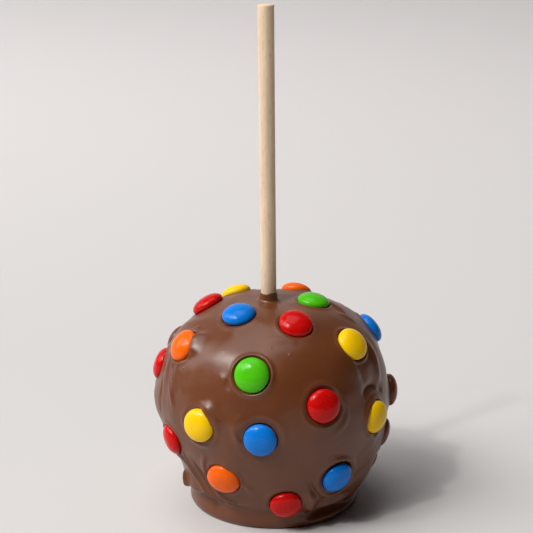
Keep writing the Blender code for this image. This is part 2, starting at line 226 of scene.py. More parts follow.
class Flap(NamedTuple):
    """Chocolate that ran over the edge of a lentil, ending in a straight edge."""

    towards: float             # the side that it covers
    open: float                # how far the ends of its edge are from the lentil's middle
    bow: float                 # how much further out the middle of its edge is
    film: float                # its thickness


FLAPS = {
    9: Flap(towards=26.0, open=5.5, bow=0.8, film=0.12),
    16: Flap(towards=40.0, open=5.2, bow=0.9, film=0.12),
    20: Flap(towards=58.0, open=6.3, bow=0.35, film=0.06),
}
FLAP_ROUND = 0.5               # radius of a flap's edge
FLAP_CREST = 0.6               # distance of its crest behind the edge
FLAP_INNER = 2.2               # width of the crest towards the lentil
FLAP_OUTER = 3.2               # and away from it
FLAP_SPREAD = 1.2              # its length, as a share of the edge's
FLAP_BEYOND = 2.4              # how far past the rim its mesh points reach
FLAP_ROWS = (-0.3, -0.05, 0.0, 0.05, 0.13, 0.24, 0.38, 0.55)     # first rows of them, from the edge
FLAP_ROW_STEP = 0.3            # and the distance between the others
FLAP_POINT_STEP = 0.42         # distance between points of a row

RING_STEPS = (-0.9, -0.35, -0.06, 0.03, 0.1, 0.18, 0.28, 0.4, 0.56, 0.8, 1.1, 1.5, 2.0, 2.6, 3.3)
RING_POINTS = 84
SOCKET_RINGS = ((0.3, 12), (0.6, 28))      # share of the radius, points
SOCKET_CLEAR = 0.25
RING_CLEAR = 0.4               # free stretch between the rings and the lattice
LENS_SIDE = 9.0                # a lentil has no say further than this from its plane or past its rim
FINENESS = (1.0, 0.55, 0.32)   # lattice step at each level, as a share of the mesh step
FINE_ZONES = (                 # azimuth from and to, elevation from and to, level; a later one wins
    (-85.0, -22.0, -90.0, -12.0, 1),           # low left
    (-30.0, 85.0, -90.0, -36.0, 1),            # low front
    (-95.0, -50.0, 8.0, 52.0, 1),              # left shoulder
    (40.0, 85.0, -36.0, 45.0, 1),              # right flank
    (-78.0, -24.0, -90.0, -15.0, 2),           # the hanging fold
    (8.0, 75.0, -90.0, -28.0, 2),              # the swirl and the trough
)
RIDGE_STEPS = 18               # points along a ridge's curve
RIDGE_NEAR = 0.75              # cosine of the angle from a ridge's middle within which it is felt
CROWN_FADE = 14.0              # relief dies out over this many degrees from the crown

# Where the coat climbs the stick: distance from its axis, share of the height
SLEEVE = (
    (1.6, 0.30), (2.9, 0.45), (3.05, 0.80), (3.16, 0.955), (3.26, 0.995), (3.36, 0.99), (3.46, 0.93),
    (3.53, 0.82), (3.58, 0.68), (3.63, 0.54), (3.70, 0.41), (3.80, 0.31), (3.95, 0.225), (4.2, 0.15),
    (4.6, 0.09), (5.1, 0.05), (5.8, 0.02), (6.7, 0.0), (7.7, 0.0),
)
SLEEVE_HEIGHT = 3.7
SLEEVE_POINTS = 64
SLEEVE_CLEAR = 0.8             # free stretch between its last ring and the lattice
SLEEVE_UNEVEN = ((0.07, 1, 1.0), (0.05, 3, 0.0))       # share of its height, times round, shift
BASE_RINGS = ((33.2, 220), (31.0, 160), (26.0, 96), (18.0, 60), (9.0, 28))    # radius, points


def spline(knots, values, at):
    """Values of the natural cubic curve through the knots."""
    knots, values, at = (np.asarray(x, float) for x in (knots, values, at))
    step = np.diff(knots)
    slope = np.diff(values) / step
    system = np.eye(len(knots))
    right = np.zeros(len(knots))
    for i in range(1, len(knots) - 1):
        system[i, i - 1:i + 2] = step[i - 1], 2 * (step[i - 1] + step[i]), step[i]
        right[i] = 6 * (slope[i] - slope[i - 1])
    bend = np.linalg.solve(system, right)
    i = np.clip(np.searchsorted(knots, at) - 1, 0, len(step) - 1)
    past, left = at - knots[i], knots[i + 1] - at
    return (
        (bend[i] * left ** 3 + bend[i + 1] * past ** 3) / (6 * step[i])
        + (values[i] / step[i] - bend[i] * step[i] / 6) * left
        + (values[i + 1] / step[i] - bend[i + 1] * step[i] / 6) * past
    )


OUTLINE_XY = np.array(OUTLINE)
OUTLINE_KNOTS = np.concatenate([[0.0], np.cumsum(np.hypot(*np.diff(OUTLINE_XY, axis=0).T))])
OUTLINE_LENGTH = OUTLINE_KNOTS[-1]


def outline(way):
    """Radius and height of the section, way millimetres along it from the crown."""
    return (
        spline(OUTLINE_KNOTS, OUTLINE_XY[:, 0], way),
        np.maximum(spline(OUTLINE_KNOTS, OUTLINE_XY[:, 1], way), 0.0),
    )


def elevation_of(radius, height):
    return np.degrees(np.arctan2(height - CORE_HEIGHT, np.maximum(radius, 1e-9)))


WAY_STEPS = 1200
WAYS = np.linspace(0.0, OUTLINE_LENGTH, WAY_STEPS)
WAY_ELEVATIONS = elevation_of(*outline(WAYS))
FOOT_ELEVATION = WAY_ELEVATIONS[-1]


def direction(azimuth, elevation):
    """Unit vectors out of the core, to the right and upwards, for angles in degrees."""
    a, e = np.radians(azimuth), np.radians(elevation)
    out = np.stack([np.sin(a) * np.cos(e), -np.cos(a) * np.cos(e), np.sin(e) + 0 * a], -1)
    right = np.stack([np.cos(a) + 0 * e, np.sin(a) + 0 * e, 0 * a + 0 * e], -1)
    up = np.stack([-np.sin(a) * np.sin(e), np.cos(a) * np.sin(e), np.cos(e) + 0 * a], -1)
    return out, right, up


def angles(out):
    """Azimuth and elevation of unit vectors."""
    azimuth = np.degrees(np.arctan2(out[:, 0], -out[:, 1]))
    return azimuth, np.degrees(np.arcsin(np.clip(out[:, 2], -1.0, 1.0)))


def unit(vectors):
    return vectors / np.linalg.norm(vectors, axis=-1, keepdims=True)


def swell(out):
    """Height of the swells for unit vectors out of the core."""
    height = np.zeros(out.shape[:-1])
    for azimuth, elevation, rise, width, length, turn in SWELLS:
        centre, right, up = direction(np.array(azimuth), np.array(elevation))
        across, along = REACH * out @ right, REACH * out @ up
        t = math.radians(turn)
        u = across * math.cos(t) + along * math.sin(t)
        v = along * math.cos(t) - across * math.sin(t)
        bump = rise * np.exp(-0.5 * ((u / width) ** 2 + (v / length) ** 2))
        height += np.where(out @ centre > 0, bump, 0.0)
    return height


def foot_fade(height):
    """How much of its relief the coat keeps at a height above the table."""
    return 1 - np.exp(-(np.maximum(height, 0) / FOOT_FADE) ** 2)


def crease(azimuth, height):
    """How deep the coat is creased above its foot."""
    turns, heights, depths = zip(*CREASE)
    away = (height - spline(turns, heights, azimuth)) / CREASE_WIDTH
    return spline(turns, depths, azimuth) * np.exp(-away ** 2)


def coat(out):
    """Points and outward directions of the smooth coat, for unit vectors out of the core."""
    azimuth, elevation = angles(out)
    way = np.interp(-elevation, -WAY_ELEVATIONS, WAYS)
    small = 0.05
    radius, height = outline(way)
    next_radius, next_height = outline(np.minimum(way + small, OUTLINE_LENGTH))
    last_radius, last_height = outline(np.maximum(way - small, 0.0))
    tangent = unit(np.stack([next_radius - last_radius, next_height - last_height], -1))
    a = np.radians(azimuth)
    spoke = np.stack([np.sin(a), -np.cos(a), 0 * a], -1)
    normal = spoke * -tangent[:, 1:] + np.array([0.0, 0.0, 1.0]) * tangent[:, :1]
    point = spoke * radius[:, None]
    point[:, 0] += spline(*zip(*DRIFT), elevation)
    point[:, 2] = height
    rise = (swell(out) - crease(azimuth, height)) * foot_fade(height)
    return point + normal * rise[:, None], normal


def ridge_height(out, ridge):
    """Height of one ridge or crease for unit vectors out of the core."""
    steps = np.arange(len(ridge.path))
    at = np.linspace(0, steps[-1], RIDGE_STEPS)
    turns, tilts = (spline(steps, values, at) for values in zip(*ridge.path))
    knots = direction(turns, tilts)[0] * REACH
    near = np.nonzero(out @ unit(knots.mean(axis=0)) > RIDGE_NEAR)[0]
    place = out[near] * REACH
    best = np.full(len(near), np.inf)
    share = np.zeros(len(near))
    side = np.zeros(len(near))
    for i in range(RIDGE_STEPS - 1):
        run = knots[i + 1] - knots[i]
        reach = place - knots[i]
        t = np.clip(reach @ run / (run @ run), 0, 1)
        apart = np.linalg.norm(reach - t[:, None] * run, axis=1)
        closer = apart < best
        best = np.where(closer, apart, best)
        share = np.where(closer, (i + t) / (RIDGE_STEPS - 1), share)
        turn = np.einsum("ij,ij->i", np.cross(run, reach), place)
        side = np.where(closer, turn, side)
    width = np.where(side > 0, ridge.left, ridge.right)
    taper = 1 - np.abs(2 * share - 1) ** 3
    height = np.zeros(len(out))
    height[near] = ridge.height * taper * np.exp(-(best / width) ** 2)
    return height


def waves(out, height):
    """Slow uneven waves of the chocolate, a seeded sum of sines."""
    rng = np.random.default_rng(WAVE_SEED)
    total = np.zeros(len(out))
    for _ in range(WAVE_COUNT):
        heading = unit(rng.normal(size=3))
        length = rng.uniform(*WAVE_LENGTHS)
        phase = rng.uniform(0, 2 * math.pi)
        total += np.sin(out @ heading * REACH * 2 * math.pi / length + phase) * length
    return height * total / (WAVE_COUNT ** 0.5 * WAVE_LENGTHS[1])


class Lens(NamedTuple):
    """One lentil as the solid model places it."""

    number: int
    colour: str
    node: str
    centre: np.ndarray
    axis: np.ndarray           # outwards
    right: np.ndarray
    up: np.ndarray
    radius: float
    thick: float               # half of its thickness
    seat: Seat
    flap: Flap | None


def node_points(node):
    """Points of a solid, each once, in millimetres."""
    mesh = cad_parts[node].data
    points = np.empty(len(mesh.vertices) * 3)
    mesh.vertices.foreach_get("co", points)
    return np.unique(np.round(points.reshape(-1, 3) / MM, 3), axis=0)


def axes_of(points):
    """Centre of a solid and its main directions, the shortest first."""
    centre = points.mean(axis=0)
    return centre, np.linalg.eigh((points - centre).T @ (points - centre))[1].T


def read_lens(node):
    _, number, colour = node.split("_")
    points = node_points(node)
    centre, (axis, *_) = axes_of(points)
    if axis @ (centre - CORE) < 0:
        axis = -axis
    up = unit(np.array([0.0, 0.0, 1.0]) - axis[2] * axis)
    away = points - centre
    through = away @ axis
    across = np.linalg.norm(away - through[:, None] * axis, axis=1)
    number = int(number)
    return Lens(
        number, colour, node, centre, axis, np.cross(up, axis), up, across.max(), through.max(),
        SEATS.get(number, Seat()), FLAPS.get(number),
    )


def read_lenses():
    lenses = [read_lens(node) for node in sorted(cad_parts) if node.startswith("lentil_")]
    if not lenses:
        raise RuntimeError("the frame holds no lentils")
    return lenses


def read_stick():
    """Foot, top and radius of the stick."""
    points = node_points("stick")
    centre, (*_, axis) = axes_of(points)
    if axis[2] < 0:
        axis = -axis
    along = (points - centre) @ axis
    across = np.linalg.norm(points - centre - along[:, None] * axis, axis=1)
    return centre + along.min() * axis, centre + along.max() * axis, across.max()


def on_lens(lens, points):
    """Height over a lens's middle plane and the place in that plane, for points in space."""
    away = points - lens.centre
    return away @ lens.axis, away @ lens.right, away @ lens.up


def aim(lens, u, v):
    """Unit vectors out of the core that meet the smooth coat at places in a lens's plane."""
    guess = lens.centre + u[:, None] * lens.right + v[:, None] * lens.up
    for _ in range(4):
        out = unit(guess - CORE)
        _, found_u, found_v = on_lens(lens, coat(out)[0])
        guess = guess + (u - found_u)[:, None] * lens.right + (v - found_v)[:, None] * lens.up
    return unit(guess - CORE)


def seat_height(lens, rho, phi, level):
    """Height of the coat over a lens's plane near that lens, from its height without the lens."""
    seat = lens.seat
    away = rho - lens.radius
    uneven = 1.0
    for share, times, shift in LIP_UNEVEN:
        uneven = uneven + share * np.sin(times * phi + shift * lens.number)
    raised = level + seat.lip * uneven * np.exp(-((away - seat.away) / seat.soft) ** 2)
    raised -= seat.crater * np.exp(-(np.maximum(away, 0) / seat.reach) ** 2)
    side = seat.wider * np.maximum(np.cos(phi - math.radians(seat.towards)), 0) ** 2
    part = np.clip(away / (seat.gap * (1 + side)), 0, 1)
    edge = raised - seat.deep * (1 + GAP_DEEPENS * side) * (1 - np.sqrt(1 - (1 - part) ** 2))
    bulge = lens.thick * np.sqrt(np.clip(1 - (rho / lens.radius) ** 2, 0, 1))
    under = np.minimum(edge, -bulge - SOCKET_CLEAR)
    height = np.where(away >= 0, edge, under)
    if lens.flap:
        height = flap_height(lens, rho, phi, height, raised, bulge)
    return height


def flap_height(lens, rho, phi, height, raised, bulge):
    """Height of the coat where it also runs over the lens, up to the edge of its flap."""
    along, across = flap_axes(lens, rho * np.cos(phi), rho * np.sin(phi))
    edge, half = flap_edge(lens, across)
    middle = lens.flap.open + lens.flap.bow
    crest = lens.thick * math.sqrt(1 - (middle / lens.radius) ** 2) + lens.flap.film
    past = along - middle - FLAP_CREST
    width = np.where(past < 0, FLAP_INNER, FLAP_OUTER)
    pile = np.exp(-(past / width) ** 2 - (across / (FLAP_SPREAD * half)) ** 4)
    outside = filled(height, raised, pile) * (1 - pile) + crest * pile
    film = np.clip((along - edge) / FLAP_ROUND, 0, 1)
    film = lens.flap.film * np.sqrt(1 - (1 - film) ** 2)
    inside = np.maximum(raised * (1 - pile) + crest * pile, bulge + film)
    return np.where(rho >= lens.radius, outside, np.where(along >= edge, inside, height))


def filled(edge, raised, pile):
    """The height at a rim, its gap filled where chocolate is piled on it."""
    return edge + (raised - edge) * np.minimum(2 * pile, 1)


def flap_axes(lens, u, v):
    """Places in a lens's plane, turned to run towards its flap and along the flap's edge."""
    t = math.radians(lens.flap.towards)
    return u * math.cos(t) + v * math.sin(t), v * math.cos(t) - u * math.sin(t)


def flap_edge(lens, across):
    """How far out the bowed edge of a flap is, and half of its length."""
    half = math.sqrt(lens.radius ** 2 - lens.flap.open ** 2)
    return lens.flap.open + lens.flap.bow * np.clip(1 - (across / half) ** 2, 0, 1), half


def flap_places(lens):
    """Places in a lens's plane, in rows along the edge of the chocolate that covers it."""
    flap = lens.flap
    wide = lens.radius + FLAP_BEYOND
    rows = list(FLAP_ROWS)
    while flap.open + rows[-1] < wide:
        rows.append(rows[-1] + FLAP_ROW_STEP)
    places = []
    for row in rows:
        limit = lens.radius - 0.1 if row < 0 else wide
        half = math.sqrt(max(limit ** 2 - (flap.open + row) ** 2, 0))
        count = max(int(2 * half / FLAP_POINT_STEP), 1)
        across = np.linspace(-half, half, count + 1)
        along = flap_edge(lens, across)[0] + row
        keep = np.hypot(along, across) < wide
        places.append(np.stack([along[keep], across[keep]], -1))
    along, across = np.concatenate(places).T
    t = math.radians(flap.towards)
    return along * math.cos(t) - across * math.sin(t), along * math.sin(t) + across * math.cos(t)


def under_flap(lens, u, v):
    """Whether places in a lens's plane are where its flap has its own points."""
    if not lens.flap:
        return np.zeros(len(u), bool)
    along, across = flap_axes(lens, u, v)
    behind = along > flap_edge(lens, across)[0] + FLAP_ROWS[0] - 0.05
    return behind & (np.hypot(u, v) < lens.radius + FLAP_BEYOND + 0.05)


def ring(radius, height, count, shift=0.0):
    """Unit vectors that meet the smooth coat in a level ring of points."""
    azimuth = (np.arange(count) + shift) * 360.0 / count
    return direction(azimuth, np.full(count, elevation_of(radius, height)))[0]


def lattice(step, first, last):
    """Unit vectors of evenly spaced points of the coat between two ways along its section."""
    outs = []
    rows = round((last - first) / (step * 0.866))
    for i, way in enumerate(np.linspace(first, last, rows + 1)):
        radius, height = outline(way)
        outs.append(ring(radius, height, round(2 * math.pi * radius / step), 0.5 * (i % 2)))
    return np.concatenate(outs)


def fine_level(out):
    """How fine the lattice is at each place: 0 on quiet stretches, 2 where the folds are sharpest."""
    azimuth, elevation = angles(out)
    levels = np.zeros(len(out), int)
    for left, right, low, high, level in FINE_ZONES:
        inside = (azimuth > left) & (azimuth < right) & (elevation > low) & (elevation < high)
        levels[inside] = level
    return levels


class Cloud:
    """The points of the coat's mesh while they are gathered."""

    def __init__(self):
        self.out = []
        self.lens = []
        self.u = []
        self.v = []

    def add(self, out, lens=-1, u=0.0, v=0.0):
        self.out.append(out)
        self.lens.append(np.full(len(out), lens))
        self.u.append(np.zeros(len(out)) + u)
        self.v.append(np.zeros(len(out)) + v)

    def arrays(self):
        """Directions, lens numbers and places in the lens's plane, without doubles."""
        out, lens, u, v = (np.concatenate(rows) for rows in (self.out, self.lens, self.u, self.v))
        keep = np.sort(np.unique(np.round(out, 5), axis=0, return_index=True)[1])
        return out[keep], lens[keep], u[keep], v[keep]


def rim_distance(lenses, points):
    """Distance from every lens's rim, measured in its plane, for every point."""
    apart = np.full((len(points), len(lenses)), np.inf)
    for i, lens in enumerate(lenses):
        height, u, v = on_lens(lens, points)
        apart[:, i] = np.where(np.abs(height) < LENS_SIDE, np.hypot(u, v) - lens.radius, np.inf)
    return apart


def bubble_rows():
    """Every bubble: the chosen ones, then a seeded scatter."""
    rng = random.Random(BUBBLE_SEED)
    rows = list(BUBBLES)
    for _ in range(BUBBLE_SCATTER):
        elevation = math.degrees(math.asin(rng.uniform(*BUBBLE_BAND)))
        rows.append((rng.uniform(-180, 180), elevation, rng.uniform(*BUBBLE_RADII)))
    return rows


def lens_places(lens):
    """Places in a lens's plane for mesh points: its rim's rings, its socket and its flap."""
    phi = np.arange(RING_POINTS) * 2 * math.pi / RING_POINTS
    rho = lens.radius + np.array(RING_STEPS)[:, None]
    u, v = (rho * np.cos(phi)).ravel(), (rho * np.sin(phi)).ravel()
    for share, count in SOCKET_RINGS:
        turn = np.arange(count) * 2 * math.pi / count
        u = np.append(u, share * lens.radius * np.cos(turn))
        v = np.append(v, share * lens.radius * np.sin(turn))
    clear = ~under_flap(lens, u, v)
    u, v = u[clear], v[clear]
    if lens.flap:
        more_u, more_v = flap_places(lens)
        u, v = np.append(u, more_u), np.append(v, more_v)
    return u, v


def bubble_places(azimuth, elevation, size):
    """Unit vectors of the mesh points of a bubble: its top and the rings round it."""
    centre, right, up = direction(np.array(azimuth), np.array(elevation))
    places = [
        centre + (right * math.cos(t) + up * math.sin(t)) * share * size / REACH
        for share, count in BUBBLE_RINGS
        for t in np.arange(count) * 2 * math.pi / count
    ]
    return centre, unit(np.array(places))


def gather_points(lenses, step):
    """Unit vectors of the coat's mesh points: rings round each lens and the stick, a lattice between."""
    cloud = Cloud()
    for index, lens in enumerate(lenses):
        u, v = lens_places(lens)
        out = aim(lens, u, v)
        apart = rim_distance(lenses, coat(out)[0])
        own = apart.argmin(axis=1) == index
        own &= angles(out)[1] > FOOT_ELEVATION + 0.5
        cloud.add(out[own], index, u[own], v[own])
    first = SLEEVE[-1][0] + SLEEVE_CLEAR
    for level, share in enumerate(FINENESS):
        out = lattice(share * step, first, OUTLINE_LENGTH)
        out = out[fine_level(out) == level]
        apart = rim_distance(lenses, coat(out)[0]).min(axis=1)
        cloud.add(out[apart > RING_STEPS[-1] + RING_CLEAR])
    for way, _ in SLEEVE:
        cloud.add(ring(*outline(np.array(way)), SLEEVE_POINTS))
    for radius, count in BASE_RINGS:
        cloud.add(ring(radius, 0.0, count))
    for row in bubble_rows():
        centre, places = bubble_places(*row)
        if rim_distance(lenses, coat(centre[None])[0]).min() >= BUBBLE_CLEAR:
            cloud.add(places)
    return cloud.arrays()


def bubble_height(out):
    height = np.zeros(len(out))
    for azimuth, elevation, size in bubble_rows():
        centre = direction(np.array(azimuth), np.array(elevation))[0]
        near = np.nonzero(out @ centre > 0.999)[0]
        apart = np.linalg.norm(out[near] - centre, axis=1) * REACH
        height[near] += BUBBLE_RISE * size * np.exp(-(apart / (BUBBLE_WIDTH * size)) ** 2)
    return height


def coat_mesh_points(lenses, out, owner, u, v, wave):
    """Places of the coat's mesh points with all of its relief, in millimetres."""
    point, normal = coat(out)
    rise = waves(out, wave) + bubble_height(out)
    for ridge in RIDGES:
        rise += ridge_height(out, ridge)
    rise *= foot_fade(point[:, 2])
    rise *= np.clip((90 - angles(out)[1]) / CROWN_FADE, 0, 1)
    point = point + normal * rise[:, None]
    for index, lens in enumerate(lenses):
        height, near_u, near_v = on_lens(lens, point)
        own = owner == index
        near_u = np.where(own, u, near_u)
        near_v = np.where(own, v, near_v)
        rho, phi = np.hypot(near_u, near_v), np.arctan2(near_v, near_u)
        near = (np.abs(height) < LENS_SIDE) & (rho < lens.radius + LENS_SIDE)
        rho, phi, level = rho[near], phi[near], height[near]
        new = seat_height(lens, rho, phi, level)
        place = lens.centre + near_u[near, None] * lens.right + near_v[near, None] * lens.up
        snapped = place + new[:, None] * lens.axis
        moved = point[near] + (new - level)[:, None] * lens.axis
        point[near] = np.where(own[near, None], snapped, moved)
    return point


def climb_stick(point, out):
    """Raise the points round the stick into the sleeve."""
    azimuth, elevation = angles(out)
    ways, shares = zip(*SLEEVE)
    way = np.interp(-elevation, -WAY_ELEVATIONS, WAYS)
    uneven = 1.0
    for share, times, shift in SLEEVE_UNEVEN:
        uneven = uneven + share * np.sin(times * np.radians(azimuth) + shift)
    climb = np.interp(way, ways, shares) * SLEEVE_HEIGHT * uneven
    point[:, 2] += np.where(way <= ways[-1], climb, 0.0)


def flatten_foot(point, out):
    """Put the points under the foot on the table."""
    elevation = angles(out)[1]
    base = elevation < FOOT_ELEVATION - 0.01
    spread = -CORE_HEIGHT / out[base, 2]
    point[base] = CORE + out[base] * spread[:, None]
    point[base, 0] += DRIFT[1][1]
    point[elevation < FOOT_ELEVATION + 0.01, 2] = 0.0


def span_faces(out):
    """Triangles between the points, found on a flat map; the last ones meet at one more, under the foot."""
    azimuth, elevation = angles(out)
    flat = out[:, :2] / (1 + out[:, 2:])
    found = geometry.delaunay_2d_cdt([Vector(p) for p in flat], [], [], 0, 1e-7)
    if len(found[0]) != len(flat):
        raise RuntimeError("two points of the coat coincide")
    radius, count = BASE_RINGS[-1]
    last = np.nonzero(np.abs(elevation - elevation_of(radius, 0.0)) < 1e-6)[0]
    last = last[np.argsort(azimuth[last])].tolist()
    if len(last) != count:
        raise RuntimeError("the innermost ring under the foot is not whole")
    fan = [(len(out), last[(i + 1) % count], last[i]) for i in range(count)]
    return [tuple(face) for face in found[2]] + fan


def make_coat(settings):
    """The coat as one closed mesh, its triangles following every rim, fold and bubble."""
    lenses = read_lenses()
    out, owner, u, v = gather_points(lenses, settings.mesh_step / MM)
    point = coat_mesh_points(lenses, out, owner, u, v, settings.wave_height / MM)
    climb_stick(point, out)
    flatten_foot(point, out)
    points = np.vstack([point, [[DRIFT[0][1], 0.0, 0.0]]])
    mesh = bpy.data.meshes.new("chocolate_coat")
    mesh.from_pydata((points * MM).tolist(), [], span_faces(out))
    mesh.validate()
    mesh.shade_smooth()
    piece = bpy.data.objects.new("chocolate_coat", mesh)
    bpy.context.scene.collection.objects.link(piece)
    return piece


# ---------------------------------------------------------------------------------------------
# Modelling helpers
# ---------------------------------------------------------------------------------------------


def deselect_all():
    if bpy.context.mode != "OBJECT":
        bpy.ops.object.mode_set(mode="OBJECT")
    bpy.ops.object.select_all(action="DESELECT")


def pick_edges(piece, wanted):
    """Select the edges whose two ends pass a test, and go on in edit mode."""
    bpy.ops.object.mode_set(mode="EDIT")
    bpy.ops.mesh.select_mode(type="EDGE")
    bpy.ops.mesh.select_all(action="DESELECT")
    bpy.ops.object.mode_set(mode="OBJECT")
    for edge in piece.data.edges:
        edge.select = wanted(*(piece.data.vertices[i].co for i in edge.vertices))
    if not any(edge.select for edge in piece.data.edges):
        raise RuntimeError(f"no edge of {piece.name} is where it should be")
    bpy.ops.object.mode_set(mode="EDIT")


def settle(piece, name, material):
    """Name a modelled piece, put its place into its mesh and give it its finish."""
    deselect_all()
    piece.select_set(True)
    bpy.context.view_layer.objects.active = piece
    bpy.ops.object.transform_apply(location=True, rotation=True, scale=True)
    piece.name = piece.data.name = name
    piece.data.materials.clear()
    piece.data.materials.append(material)
    return piece


SHELL_SEGMENTS = 72
SHELL_RINGS = 36
BELT_DEPTH = 0.004             # how far a shell is drawn in at its middle, as a share of its radius
BELT_WIDTH = 0.05
CROWN_FULLNESS = 0.03          # how much fuller its faces are half way out
SHELL_SPIN = 2.4               # each lentil is turned by this much more, in radians
DENT_SIZE = 4.2 * MM


def make_shell_form():
    """One lentil of radius 1: a flattened ball with a slight belt where its faces meet."""
    deselect_all()
    bpy.ops.mesh.primitive_uv_sphere_add(segments=SHELL_SEGMENTS, ring_count=SHELL_RINGS, radius=1.0)
    form = bpy.context.object
    bpy.ops.object.mode_set(mode="EDIT")
    bpy.ops.transform.resize(value=(1.0, 1.0, 0.5))
    bpy.ops.object.mode_set(mode="OBJECT")
    for vertex in form.data.vertices:
        x, y, z = vertex.co
        across = math.hypot(x, y)
        belt = 1 - BELT_DEPTH * math.exp(-(z / BELT_WIDTH) ** 2)
        crown = 1 + CROWN_FULLNESS * math.sin(math.pi * min(across, 1.0))
        vertex.co = (x * belt, y * belt, z * crown)
    return form


def copy_of(form, name):
    piece = form.copy()
    piece.data = form.data.copy()
    piece.name = piece.data.name = name
    bpy.context.scene.collection.objects.link(piece)
    return piece


def dent(piece, strength, size, seed):
    """Make a shell slightly uneven with a fine displacement, applied to its mesh."""
    texture = bpy.data.textures.new(f"dents_{seed}", "CLOUDS")
    texture.noise_scale = size
    texture.noise_depth = 1
    deselect_all()
    piece.select_set(True)
    bpy.context.view_layer.objects.active = piece
    change = piece.modifiers.new("dents", "DISPLACE")
    change.texture = texture
    change.texture_coords = "GLOBAL"
    change.strength = strength
    change.mid_level = 0.5
    bpy.ops.object.modifier_apply(modifier=change.name)
    bpy.data.textures.remove(texture)


# ---------------------------------------------------------------------------------------------
# Finishes
# ---------------------------------------------------------------------------------------------

CHOCOLATE_IOR = 1.5
SHELL_IOR = 1.42
SHELL_SPECULAR = 0.25          # half of the plain shine for that IOR
WOOD_IOR = 1.45
CHOCOLATE_RISE = (0.012 * MM, 0.006 * MM)      # heights of its patches and of its grains
SHELL_RISE = 0.016 * MM
WOOD_RISE = (0.03 * MM, 0.02 * MM)             # heights of its grain and of its flecks


def new_group(name, inputs, outputs):
    """A shader node group with sockets as (name, kind, default) and (name, kind)."""
    tree = bpy.data.node_groups.new(name, "ShaderNodeTree")
    for label, kind, value in inputs:
        socket = tree.interface.new_socket(label, in_out="INPUT", socket_type=kind)
        if value is not None:
            socket.default_value = value
    for label, kind in outputs:
        tree.interface.new_socket(label, in_out="OUTPUT", socket_type=kind)
    return tree, tree.nodes.new("NodeGroupInput"), tree.nodes.new("NodeGroupOutput")


def add(tree, kind, **values):
    """A node with its settings, or its inputs where no setting has that name."""
    node = tree.nodes.new(kind)
    for key, value in values.items():
        label = key.replace("_", " ").title()
        if label in node.inputs:
            node.inputs[label].default_value = value
        else:
            setattr(node, key, value)
    return node


def sized_noise(tree, enter, **values):
    """Noise whose grain is as large as the group's size says."""
    per = add(tree, "ShaderNodeMath", operation="DIVIDE")
    per.inputs[0].default_value = 1.0
    tree.links.new(enter.outputs["Size"], per.inputs[1])
    noise = add(tree, "ShaderNodeTexNoise", **values)
    tree.links.new(enter.outputs["Vector"], noise.inputs["Vector"])
    tree.links.new(per.outputs[0], noise.inputs["Scale"])
    return noise


def widen(tree, value, low, high):
    """The stretch of a value between low and high, as 0 to 1."""
    node = add(tree, "ShaderNodeMapRange")
    node.inputs["From Min"].default_value = low
    node.inputs["From Max"].default_value = high
    tree.links.new(value, node.inputs["Value"])
    return node.outputs["Result"]


def patches_group():
    """Soft patches of a size in millimetres, from 0 to 1."""
    tree, enter, leave = new_group(
        "Patches",
        (
            ("Vector", "NodeSocketVector", None),
            ("Size", "NodeSocketFloat", 10.0),
            ("Detail", "NodeSocketFloat", 2.0),
        ),
        (("Mask", "NodeSocketFloat"),),
    )
    noise = sized_noise(tree, enter, roughness=0.55)
    tree.links.new(enter.outputs["Detail"], noise.inputs["Detail"])
    tree.links.new(widen(tree, noise.outputs["Fac"], 0.3, 0.7), leave.inputs["Mask"])
    return tree


def grains_group():
    """Fine grains of a size in millimetres: a height, and a mask of the grains that stand out."""
    tree, enter, leave = new_group(
        "Grains",
        (("Vector", "NodeSocketVector", None), ("Size", "NodeSocketFloat", 0.4)),
        (("Height", "NodeSocketFloat"), ("Mask", "NodeSocketFloat")),
    )
    noise = sized_noise(tree, enter, detail=3.0, roughness=0.6)
    tree.links.new(noise.outputs["Fac"], leave.inputs["Height"])
    tree.links.new(widen(tree, noise.outputs["Fac"], 0.56, 0.7), leave.inputs["Mask"])
    return tree


def new_material(name):
    """A material, its shader, and coordinates in millimetres."""
    material = bpy.data.materials.new(name)
    material.use_nodes = True
    tree = material.node_tree
    place = add(tree, "ShaderNodeTexCoord")
    scale = add(tree, "ShaderNodeMapping")
    scale.inputs["Scale"].default_value = (1 / MM, 1 / MM, 1 / MM)
    tree.links.new(place.outputs["Object"], scale.inputs["Vector"])
    return material, tree, tree.nodes["Principled BSDF"], scale.outputs["Vector"]


def use(tree, group, vector, **values):
    node = tree.nodes.new("ShaderNodeGroup")
    node.node_tree = group
    tree.links.new(vector, node.inputs["Vector"])
    for key, value in values.items():
        node.inputs[key.title()].default_value = value
    return node


def patches(tree, groups, vector, size, detail=2.0):
    return use(tree, groups["patches"], vector, size=size, detail=detail).outputs["Mask"]


def mix(tree, mask, low, high):
    """Between two colours by a mask; each colour is a tuple or a socket."""
    node = add(tree, "ShaderNodeMix", data_type="RGBA")
    tree.links.new(mask, node.inputs["Factor"])
    for socket, value in ((node.inputs[6], low), (node.inputs[7], high)):
        if isinstance(value, tuple):
            socket.default_value = value
        else:
            tree.links.new(value, socket)
    return node.outputs[2]


def span(tree, mask, low, high):
    """A number between two by a mask."""
    node = add(tree, "ShaderNodeMapRange")
    node.inputs["To Min"].default_value = low
    node.inputs["To Max"].default_value = high
    tree.links.new(mask, node.inputs["Value"])
    return node.outputs["Result"]


def add_rough(tree, shader, mask, low, high):
    tree.links.new(span(tree, mask, low, high), shader.inputs["Roughness"])


def add_bump(tree, shader, height, distance, normal=None):
    node = add(tree, "ShaderNodeBump", strength=1.0, distance=distance)
    tree.links.new(height, node.inputs["Height"])
    if normal:
        tree.links.new(normal, node.inputs["Normal"])
    tree.links.new(node.outputs["Normal"], shader.inputs["Normal"])
    return node.outputs["Normal"]


